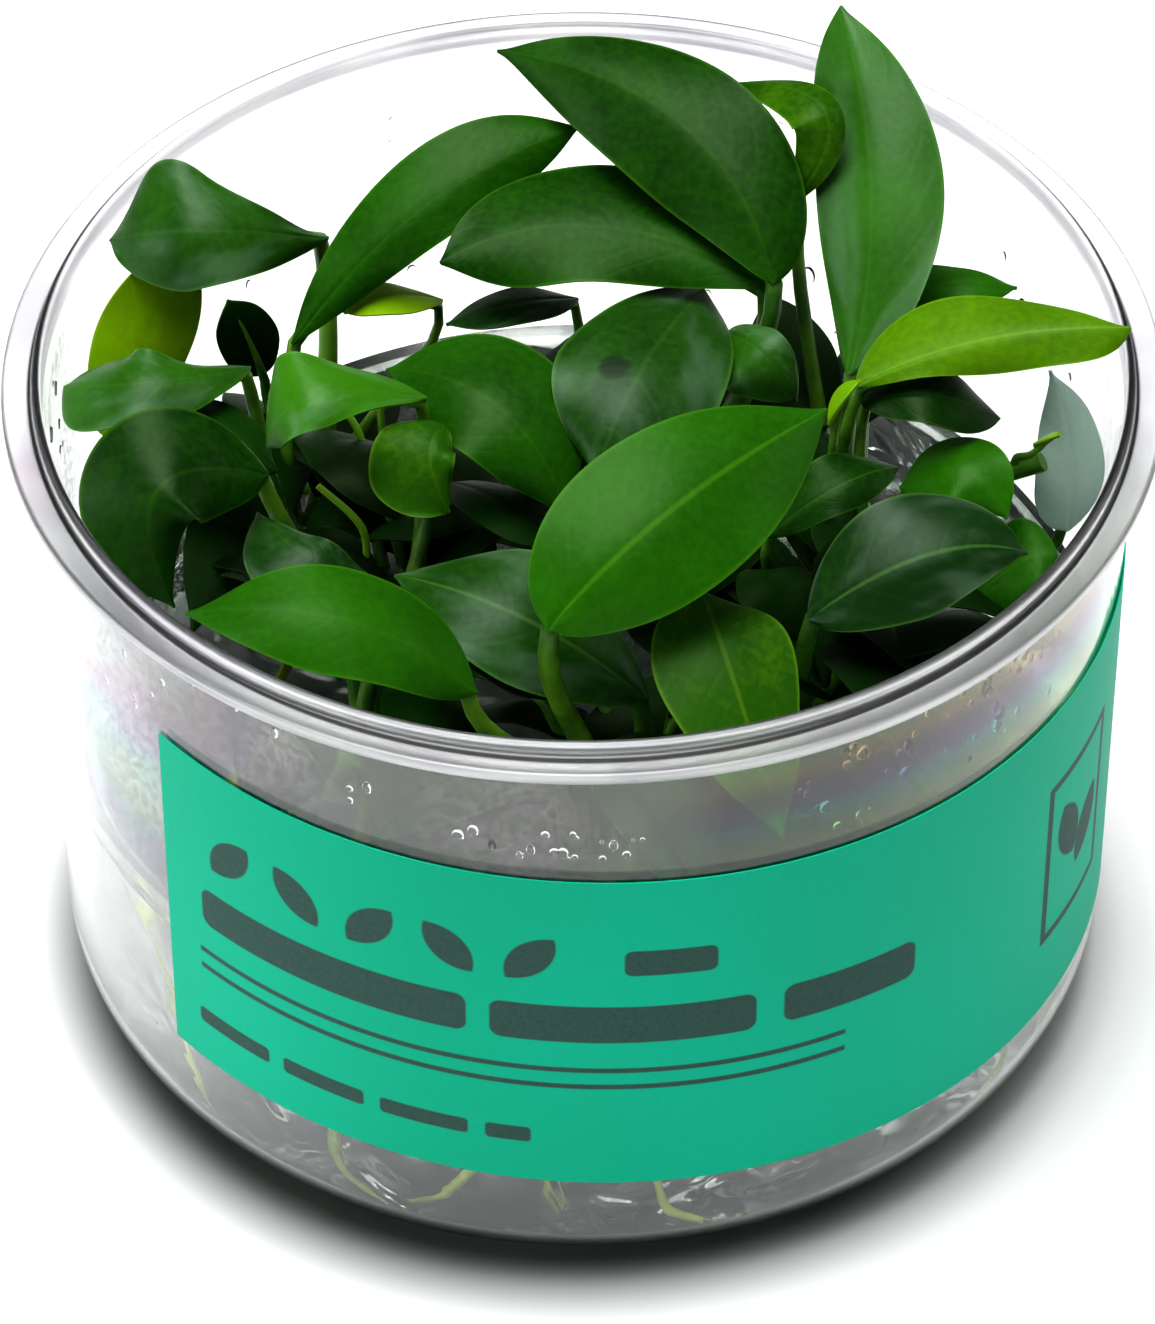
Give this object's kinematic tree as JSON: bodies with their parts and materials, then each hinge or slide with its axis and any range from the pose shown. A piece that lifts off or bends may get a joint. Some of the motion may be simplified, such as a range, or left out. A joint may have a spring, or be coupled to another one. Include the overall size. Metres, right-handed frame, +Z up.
{
  "type": "tissue culture anubias barteri in an open round cup",
  "caption": "Young broad-leaved aquarium plants growing from clear gel in a low round clear plastic cup with a flanged rim and a green wrap label, open at the top.",
  "frame": {"origin": "middle of the cup's flat base, on the surface it stands on", "axes": "+Z up along the cup's axis; the label's middle faces -Y, and its right end wraps towards +X"},
  "size_m": [0.1, 0.1, 0.0801],
  "materials": {
    "clear_plastic": "clear, polished moulded plastic with a faint rainbow tint from moulding stress",
    "label_film": "satin printed film, green, with plain dark rules",
    "gel": "clear, slightly cloudy wet gel",
    "stem": "satin green living stem",
    "leaf": "satin waxy dark green leaf with a paler midrib and fine veins",
    "young_leaf": "satin waxy bright yellow-green young leaf",
    "root": "wet pale yellow-green root"
  },
  "bodies": {
    "root": {"cup": "clear_plastic", "label": "label_film", "gel": "gel", "rhizome_1": "stem", "rhizome_2": "stem", "rhizome_3": "stem", "rhizome_4": "stem", "rhizome_5": "stem", "rhizome_6": "stem", "leaf_01": "leaf", "leaf_02": "leaf", "leaf_03": "young_leaf", "leaf_04": "leaf", "leaf_05": "leaf", "leaf_06": "leaf", "leaf_07": "young_leaf", "leaf_08": "leaf", "leaf_09": "leaf", "leaf_10": "leaf", "leaf_11": "leaf", "leaf_12": "young_leaf", "leaf_13": "leaf", "leaf_14": "leaf", "leaf_15": "leaf", "leaf_16": "leaf", "leaf_17": "young_leaf", "leaf_18": "leaf", "leaf_19": "leaf", "leaf_20": "leaf", "leaf_21": "leaf", "leaf_22": "leaf", "leaf_23": "leaf", "leaf_24": "leaf", "leaf_25": "young_leaf", "leaf_26": "leaf", "leaf_27": "leaf", "leaf_28": "leaf", "leaf_29": "leaf", "leaf_30": "leaf", "leaf_31": "leaf", "leaf_32": "leaf", "leaf_33": "leaf", "leaf_34": "leaf", "leaf_35": "leaf", "leaf_36": "young_leaf", "cut_stem": "stem", "shoot": "young_leaf", "root_1": "root", "root_2": "root", "root_3": "root", "root_4": "root", "root_5": "root", "root_6": "root", "root_7": "root", "root_8": "root"}
  },
  "joints": []
}
